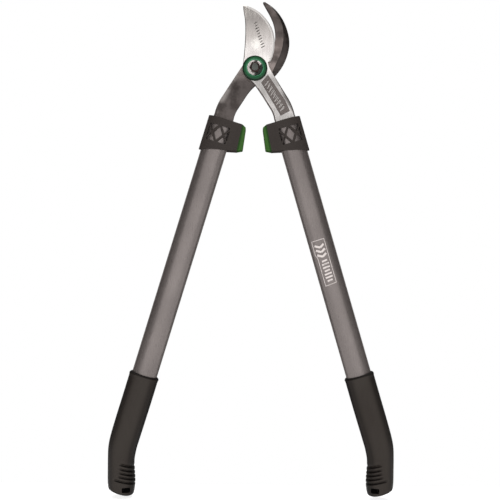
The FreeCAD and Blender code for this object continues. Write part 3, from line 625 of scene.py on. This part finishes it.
def groove_depth(level, angle):
    """Depth of the finger grooves at one ring, round the inner part of the grip only."""
    from_inner = math.degrees(abs(angle - math.pi))
    groove, reach = min(GROOVES, key=lambda pair: abs(level - pair[0]))
    window = 1 - smoothstep(reach - 16, reach + 4, from_inner)
    window *= 0.45 + 0.55 * smoothstep(0, 30, from_inner)      # shallower along the innermost line
    return GROOVE_DEPTH * window * (1 - smoothstep(0.2, GROOVE_HALF_WIDTH, abs(level - groove)))


def bore_ring(up, side):
    """Ring of the bore that the tube sits in."""
    points = []
    for index in range(RING_POINTS):
        angle = 2 * math.pi * index / RING_POINTS
        x, z = on_handle((TUBE_HALF_WIDTH + BORE_GAP) * math.cos(angle), up)
        points.append(Vector((side * x, -(TUBE_HALF_DEPTH + BORE_GAP) * math.sin(angle), z)) * MM)
    return points


def skin(form, rings):
    """Bridge rings of points into a skin, closed at both ends."""
    loops = [[form.verts.new(point) for point in ring] for ring in rings]
    for first, second in zip(loops, loops[1:]):
        for index in range(len(first)):
            following = (index + 1) % len(first)
            form.faces.new((first[index], first[following], second[following], second[index]))
    form.faces.new(loops[0])
    form.faces.new(loops[-1])
    bmesh.ops.recalc_face_normals(form, faces=form.faces)


def grip_levels():
    """Heights of the rings' outer ends: close together at the lip, the grooves and the hang slot."""
    top, bottom = OUTER_EDGE[0][1], OUTER_EDGE[-1][1]
    levels = [top - step for step in (1.6, 2.6, 3.6, 4.6, 5.6, 7.0)]
    level = levels[-1]
    while level > bottom + 0.3:
        if level >= GROOVES[0][0] + 3:
            level -= 3.0
        elif level > GROOVES[-1][0] - 3:
            level -= 0.45
        else:
            level -= 0.9
        levels.append(max(level, bottom))
    return levels


def lip(level):
    """Small bead round the grip's mouth."""
    below = OUTER_EDGE[0][1] - level
    return 0.55 * math.exp(-((below - 2.4) / 1.7) ** 2)


def pushed_up(name, side):
    """The grip's slide up its tube, as a vector in metres."""
    slide = GRIP_SLIDE[name]
    return Vector((-side * slide * math.sin(HANDLE_LEAN), 0, slide * math.cos(HANDLE_LEAN))) * MM


def make_grip(name, side):
    """Hollow grip, from the bore's bottom up to its mouth and down the outside to the closed end."""
    top = OUTER_EDGE[0][1]
    rings = [bore_ring(TUBE_END - GRIP_SLIDE[name], side), bore_ring(GRIP_TOP, side)]
    rings.append(grip_ring(top, side, grow=-1.7))
    for turn in (20, 50, 75):
        angle = math.radians(turn)
        rings.append(grip_ring(top - 1.5 * (1 - math.cos(angle)), side, grow=-1.5 + 1.5 * math.sin(angle)))
    rings += [grip_ring(level, side, grow=lip(level)) for level in grip_levels()]
    deep = GRIP_HALF_DEPTH - GRIP_THINNING
    rings += [ring_points(outer, inner, deep * share, side) for outer, inner, share in END_RINGS]
    slide = pushed_up(name, side)
    rings = [[point + slide for point in ring] for ring in rings]
    form = bmesh.new()
    skin(form, rings)
    piece = add_piece(name + "_grip_moulded", form, BODY_OF_SIDE[name], [grip_rubber()], sharp_angle=50)
    cut_hang_slot(piece, side, slide)
    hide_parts(name + "_grip")


def cut_hang_slot(piece, side, slide):
    """Slot for hanging, right through the grip's end."""
    form = bmesh.new()
    half_width, half_height = SLOT_SIZE[0] / 2, SLOT_SIZE[1] / 2
    outline = []
    for index in range(SLOT_POINTS):
        angle = 2 * math.pi * (index + 0.5) / SLOT_POINTS
        x = math.copysign(half_width - SLOT_CORNER, math.cos(angle)) + SLOT_CORNER * math.cos(angle)
        z = math.copysign(half_height - SLOT_CORNER, math.sin(angle)) + SLOT_CORNER * math.sin(angle)
        outline.append((side * (SLOT_CENTRE[0] + x) * MM, (SLOT_CENTRE[1] + z) * MM))
    loops = [[form.verts.new(Vector((x, y * MM, z)) + slide) for x, z in outline] for y in (-30, 30)]
    for index in range(SLOT_POINTS):
        following = (index + 1) % SLOT_POINTS
        form.faces.new((loops[0][index], loops[0][following], loops[1][following], loops[1][index]))
    form.faces.new(loops[0])
    form.faces.new(loops[1])
    bmesh.ops.recalc_face_normals(form, faces=form.faces)
    mesh = bpy.data.meshes.new("slot_cutter")
    form.to_mesh(mesh)
    form.free()
    cutter = bpy.data.objects.new("slot_cutter", mesh)
    bpy.context.scene.collection.objects.link(cutter)
    boolean = piece.modifiers.new("hang_slot", "BOOLEAN")
    boolean.object = cutter
    boolean.solver = "EXACT"
    bpy.context.view_layer.update()
    evaluated = piece.evaluated_get(bpy.context.evaluated_depsgraph_get())
    result = bpy.data.meshes.new_from_object(evaluated)
    piece.modifiers.clear()
    piece.data = result
    result.set_sharp_from_angle(angle=math.radians(50))
    bpy.data.objects.remove(cutter)


def near_panel(place):
    """Whether a place (in mm) is in the shank's panel, and not on the shank's rim."""
    x, z = place.x - PANEL_TOP[0], place.z - PANEL_TOP[1]
    along = x * math.sin(PANEL_LEAN) - z * math.cos(PANEL_LEAN)
    across = x * math.cos(PANEL_LEAN) + z * math.sin(PANEL_LEAN)
    return -3 < along < 62 and -7.5 < across < 8.5


# Light and dark steps up the hook: (height in metres, share of the coat's colour). They were listed while
# comparing brightness with the photo, so they follow its reflections and not the steel itself.
HOOK_FLAT_ZONES = ((-0.045, 1.0), (-0.030, 0.8), (-0.014, 0.85), (-0.004, 2.2), (0.004, 3.8), (0.010, 3.1),
                   (0.016, 1.75), (0.024, 2.6), (0.033, 3.9), (0.041, 3.6), (0.050, 1.5), (0.064, 1.35),
                   (0.074, 1.3), (0.086, 2.2))
HOOK_BACK_ZONES = ((0.040, 1.0), (0.055, 1.3), (0.088, 1.5))


def finish_blade_lever():
    """Rounded blade lever, with other materials on the panel's floor, the ribs' tops and the bevels."""
    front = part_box("blade_lever")[0].y
    panel, rib, ground = 1, 2, 3      # places in the list of materials; 0 is the polished steel

    def on_shank_rim(place):
        return place.z < -13 and place.y < front / MM + 0.1 and not near_panel(place)

    def on_spine(place):
        return place.z > 13 and place.x < -11.5 and place.y < front / MM + 0.1

    form = softened("blade_lever", (2.4, on_shank_rim), (1.3, on_spine), (0.35, near_panel))
    for face in form.faces:
        middle = face.calc_center_median()
        depth = (middle.y - front) / MM
        if middle.z > 8 * MM and 0.1 < depth < 4.4 and -0.99 < face.normal.y < -0.15 and face.normal.x > 0.1:
            face.material_index = ground
        if middle.z > -5 * MM:
            continue
        if 0.15 < depth < 0.95 and middle.x > 5 * MM:
            face.material_index = rib if face.normal.y < -0.9 else panel
        elif 0.95 <= depth < 1.1:
            face.material_index = panel
    replace_node("blade_lever", form, [blade_steel(), panel_steel(), rib_steel(), ground_steel()])


def finish_hook_lever():
    """Rounded hook lever, with a darker material on the hook's slopes and edges."""
    form = softened("hook_lever", (0.5, lambda place: True))
    for face in form.faces:
        middle = face.calc_center_median()
        if middle.z > -12 * MM and middle.x > 10 * MM:
            face.material_index = 0 if face.normal.y < -0.97 else 1
    replace_node("hook_lever", form, [
        gunmetal("blackened_steel", (0.046, 0.038, 0.035), (0.092, 0.077, 0.073), 0.36, HOOK_FLAT_ZONES),
        gunmetal("hook_back_steel", (0.036, 0.030, 0.028), (0.052, 0.043, 0.040), 0.34, HOOK_BACK_ZONES)])


def slab(form, outline, place, low, high, taper=1.0):
    """Closed slab between two levels. The outline's points (a, b) are put in space by place(a, b, level)."""
    middle = [sum(values) / len(outline) for values in zip(*outline)]
    small = [tuple(m + (value - m) * taper for value, m in zip(point, middle)) for point in outline]
    below = [form.verts.new(place(*point, low)) for point in outline]
    above = [form.verts.new(place(*point, high)) for point in small]
    for index in range(len(outline)):
        following = (index + 1) % len(outline)
        form.faces.new((below[index], below[following], above[following], above[index]))
    form.faces.new(below)
    form.faces.new(above)


def slanted_bar(middle, length, width, slant, lean):
    """Corners of a slanted bar about a place, turned by an angle (degrees) from the vertical."""
    turn = math.radians(lean)
    cosine, sine = math.cos(turn), math.sin(turn)
    half = length / 2
    corners = [(-half, -slant), (half, slant), (half, slant + width), (-half, width - slant)]
    return [(middle[0] + a * cosine - b * sine, middle[1] + a * sine + b * cosine) for a, b in corners]


def add_bars(name, start, end, count, sizes, lean, low, high, material):
    """Row of slanted bars on the blade lever, between two front-view places in mm. Every third is shorter."""
    form = bmesh.new()
    length, width, slant = sizes
    for index in range(count):
        share = index / (count - 1)
        middle = [a + (b - a) * share for a, b in zip(start, end)]
        outline = slanted_bar(middle, length * (1 - 0.25 * (index % 3 == 1)), width, slant, lean)
        slab(form, outline, lambda x, z, level: Vector((x, level, z)) * MM, low, high, 0.86)
    bmesh.ops.recalc_face_normals(form, faces=form.faces)
    piece = add_piece(name, form, "blade_side", [material], sharp_angle=20)


def etched_dark():
    """Worn dark etching."""
    steel = Shader("etched_marks", metallic=0.6)
    wear = steel.noise(500, 3)
    steel.colour(steel.mix(steel.range(wear, 0.35, 0.65), (0.03, 0.027, 0.026), (0.22, 0.20, 0.19)))
    steel.roughness(steel.range(wear, 0.3, 0.7, 0.4, 0.6))
    steel.bump(wear, 0.01)
    return steel.material


def add_lever_marks():
    """Plain bars in the shank's panel and a row of plain etched strokes on the blade."""
    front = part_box("blade_lever")[0].y / MM
    add_bars("panel_bars", (16.9, -21.2), (38.4, -55.6), 9, (9.4, 1.9, 1.8), 32,
             front + 1.02, front + 0.12, rib_steel())
    add_bars("blade_etching", (0.3, 61.5), (11.0, 29.0), 10, (5.6, 1.5, 0.6), 17,
             front + 0.05, front - 0.03, etched_dark())


def decal_ink():
    """Pale print, rubbed thin in places."""
    ink = Shader("decal_ink", Specular_IOR_Level=0.2)
    wear = ink.noise(420, 4)
    ink.colour(ink.mix(ink.range(wear, 0.55, 0.70), (0.68, 0.62, 0.60), (0.34, 0.31, 0.30)))
    ink.roughness(ink.range(wear, 0.3, 0.7, 0.45, 0.6))
    ink.bump(wear, 0.005)
    return ink.material


def add_decal():
    """Plain printed frame, chevrons and bars on the right tube."""
    middle_out, top_up, bottom_up = -4.0, -243.5, -305.5
    half_width = 8.6

    def on_tube(out, up, lift):
        """Place on the front of the right tube, lifted so far off its surface."""
        x, z = on_handle(out, up)
        depth = (TUBE_HALF_DEPTH + lift) * math.sqrt(1 - (out / (TUBE_HALF_WIDTH + lift)) ** 2)
        return Vector((x, -depth, z)) * MM

    form = bmesh.new()

    def line(first, last, width):
        """Printed line between two places (out, up), in steps short enough to follow the tube."""
        steps = max(1, round(abs(last[0] - first[0]) / 1.2))
        along = Vector(last) - Vector(first)
        side = Vector((-along.y, along.x)).normalized() * width / 2
        for step in range(steps):
            start = Vector(first) + along * (step / steps)
            stop = Vector(first) + along * ((step + 1) / steps)
            slab(form, [tuple(start - side), tuple(stop - side), tuple(stop + side), tuple(start + side)],
                 on_tube, -0.06, 0.05)

    left, right = middle_out - half_width, middle_out + half_width
    corners = [(left, top_up - 0.5), (right, top_up), (right, bottom_up), (left + 2.0, bottom_up - 1.5),
               (left + 2.0, top_up - 24), (left, top_up - 20)]
    for first, last in zip(corners, corners[1:] + corners[:1]):
        line(first, last, 0.7)
    for drop in (7.0, 13.5, 20.0):
        point = (middle_out + 0.4, top_up - drop - 3.6)
        line((left + 2.4, top_up - drop), point, 2.8)
        line(point, (right - 2.4, top_up - drop), 2.8)
    for index in range(7):
        level = top_up - 30.0 - index * 4.6
        reach = 4.9 if index % 3 else 3.6
        line((middle_out - reach + 1.2, level), (middle_out + reach + 1.2, level + 1.0), 2.3)
    bmesh.ops.recalc_face_normals(form, faces=form.faces)
    piece = add_piece("tube_decal", form, "blade_side", [decal_ink()])


def dress_nodes():
    """Materials for the CAD nodes that stay."""
    slots = {
        "bronze": bronze(),
        "insert_nylon": nylon(),
        "zinc_steel": plated_steel("zinc_steel", (0.72, 0.715, 0.70), 0.2),
        "green_trim": gloss_green(),
        "dark_nut_steel": plated_steel("dark_nut_steel", (0.045, 0.028, 0.026), 0.34),
        "green_rubber": green_rubber(),
        "collar_plastic": moulded_plastic(),
    }
    tubes = {"right_handle_tube": tube_metal(HANDLE_LEAN), "left_handle_tube": tube_metal(-HANDLE_LEAN)}
    own = {
        "pivot_bolt": plated_steel("bolt_steel", (0.095, 0.10, 0.092), 0.34),
        "dished_washer": dish_steel(),
    }
    for name, piece in frame["nodes"].items():
        material = own.get(name) or tubes.get(name) or slots.get(slot_of(name))
        if material is not None:
            piece.data.materials.clear()
            piece.data.materials.append(material)


bpy.context.scene.view_settings.view_transform = "Standard"
set_camera()
set_lights()
set_world()
make_floor()
dress_nodes()
finish_blade_lever()
finish_hook_lever()
add_lever_marks()
add_decal()
for side_name, side_sign in SIDES.items():
    make_grip(side_name, side_sign)
